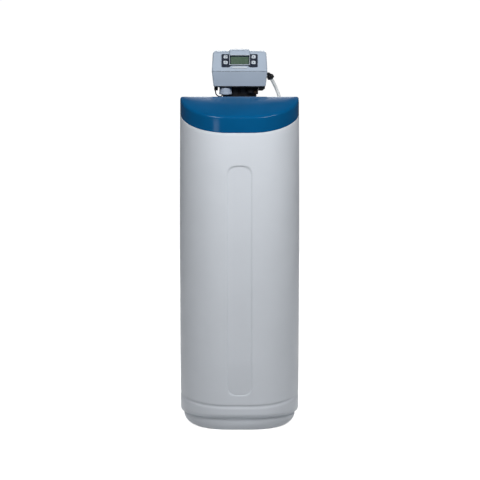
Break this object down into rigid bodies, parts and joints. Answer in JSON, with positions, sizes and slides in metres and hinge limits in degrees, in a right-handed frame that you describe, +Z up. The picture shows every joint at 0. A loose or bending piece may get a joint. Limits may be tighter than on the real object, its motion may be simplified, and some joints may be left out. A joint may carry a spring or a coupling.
{
  "type": "water softener",
  "caption": "Cabinet water softener: tall rounded salt cabinet with sloping hinged lid, inner resin tank, piston control valve with display head, brine tube and pipe connections.",
  "frame": {"origin": "centre of the whole part's footprint, on the floor under the cabinet", "axes": "+Z up, -Y towards the front with the salt lid and display, +X to the viewer's right"},
  "size_m": [0.345, 0.5, 1.077],
  "materials": {
    "cabinet_white": "moulded polyethylene, satin",
    "lid_blue": "glossy moulded plastic",
    "head_grey": "fine-textured moulded plastic",
    "valve_black": "glass-filled moulded plastic, satin",
    "black_rubber": "matte",
    "vessel_blue": "wound fibreglass shell",
    "resin_amber": "beads",
    "natural_plastic": "natural polyethylene, satin",
    "gear_plastic": "acetal, satin",
    "piston_grey": "coated, smooth",
    "refill_brown": "satin",
    "clear_tube": "translucent polyethylene",
    "cup_grey": "moulded plastic, satin",
    "zinc_steel": "zinc plated",
    "screen_green": "liquid crystal display under clear plastic",
    "overlay_navy": "printed polyester overlay",
    "key_grey": "moulded plastic, satin",
    "board_green": "lacquered circuit board"
  },
  "bodies": {
    "root": {"cabinet": "cabinet_white", "rear_deck": "lid_blue", "hinge_pins": "zinc_steel", "case_screws": "zinc_steel", "tube_grommet": "black_rubber", "overflow_spigot": "valve_black", "overflow_gasket": "black_rubber", "overflow_nut": "valve_black", "tank_shell": "vessel_blue", "tank_foot": "valve_black", "resin_bed": "resin_amber", "riser_tube": "natural_plastic", "lower_distributor": "natural_plastic", "upper_distributor": "natural_plastic", "tank_adapter": "valve_black", "adapter_seal": "black_rubber", "valve_body": "valve_black", "spacer_stack": "natural_plastic", "stack_seals": "black_rubber", "drive_cap": "valve_black", "drive_bracket": "valve_black", "drive_motor": "zinc_steel", "injector_nozzle": "natural_plastic", "injector_cap": "valve_black", "refill_control": "refill_brown", "brine_elbow": "valve_black", "brine_nut": "valve_black", "brine_tube": "clear_tube", "drain_spigot": "valve_black", "inlet_connector": "valve_black", "outlet_connector": "valve_black", "union_nuts": "valve_black", "meter_cup": "cup_grey", "sensor_cable": "black_rubber", "head_tray": "valve_black", "lower_cover": "head_grey", "display_cover": "head_grey", "rear_cover": "head_grey", "display_hood": "head_grey", "display_screen": "screen_green", "keypad_panel": "overlay_navy", "circuit_board": "board_green", "power_socket": "valve_black", "brine_well": "natural_plastic", "well_cap": "natural_plastic", "float_valve": "gear_plastic", "air_check": "gear_plastic"},
    "lid": {"salt_lid": "lid_blue"},
    "menu_key": {"menu_button": "key_grey"},
    "clock_key": {"clock_button": "key_grey"},
    "up_key": {"up_button": "key_grey"},
    "down_key": {"down_button": "key_grey"},
    "drive_wheel": {"drive_gear": "gear_plastic"},
    "idler_wheel": {"idler_gear": "gear_plastic"},
    "motor_shaft": {"motor_pinion": "gear_plastic"},
    "piston_unit": {"piston": "piston_grey"},
    "turbine": {"meter_turbine": "gear_plastic"},
    "float_unit": {"brine_float": "gear_plastic", "float_rod": "zinc_steel"},
    "check": {"check_ball": "black_rubber"}
  },
  "joints": [
    {"name": "lid_hinge", "type": "hinge", "parent": "root", "child": "lid", "pos_m": [0, -0.101, 0.92], "axis": [-1, 0, 0], "range_deg": [0, 105]},
    {"name": "menu_press", "type": "slide", "parent": "root", "child": "menu_key", "axis": [0, 0.9191, -0.3939], "range_m": [0, 0.001], "stiffness_N_per_m": 400},
    {"name": "clock_press", "type": "slide", "parent": "root", "child": "clock_key", "axis": [0, 0.9191, -0.3939], "range_m": [0, 0.001], "stiffness_N_per_m": 400},
    {"name": "up_press", "type": "slide", "parent": "root", "child": "up_key", "axis": [0, 0.9191, -0.3939], "range_m": [0, 0.001], "stiffness_N_per_m": 400},
    {"name": "down_press", "type": "slide", "parent": "root", "child": "down_key", "axis": [0, 0.9191, -0.3939], "range_m": [0, 0.001], "stiffness_N_per_m": 400},
    {"name": "motor_pinion_turn", "type": "hinge", "parent": "root", "child": "motor_shaft", "pos_m": [-0.05391, 0.0335, 1.00501], "axis": [0, 1, 0], "range_deg": [-10, 2480]},
    {"name": "idler_gear_turn", "type": "hinge", "parent": "root", "child": "idler_wheel", "pos_m": [-0.04365, 0.0335, 1.0332], "axis": [0, 1, 0], "range_deg": [-965, 5]},
    {"name": "drive_gear_turn", "type": "hinge", "parent": "root", "child": "drive_wheel", "pos_m": [0, 0.0335, 1.008], "axis": [0, 1, 0], "range_deg": [0, 720]},
    {"name": "piston_slide", "type": "slide", "parent": "root", "child": "piston_unit", "axis": [0, 1, 0], "range_m": [-0.00005, 0.02405]},
    {"name": "turbine_spin", "type": "hinge", "parent": "root", "child": "turbine", "pos_m": [-0.041, 0.031, 0.955], "axis": [0, 0, 1], "continuous": true},
    {"name": "float_rise", "type": "slide", "parent": "root", "child": "float_unit", "axis": [0, 0, 1], "range_m": [0, 0.03]},
    {"name": "check_lift", "type": "slide", "parent": "root", "child": "check", "axis": [0, 0, 1], "range_m": [0, 0.006]}
  ],
  "couplings": [
    {"joint": "idler_gear_turn", "follows": "drive_gear_turn", "ratio": -1.3333},
    {"joint": "motor_pinion_turn", "follows": "drive_gear_turn", "ratio": 3.4286},
    {"joint": "piston_slide", "follows": "drive_gear_turn", "m_per_rad": 0.0019099}
  ]
}
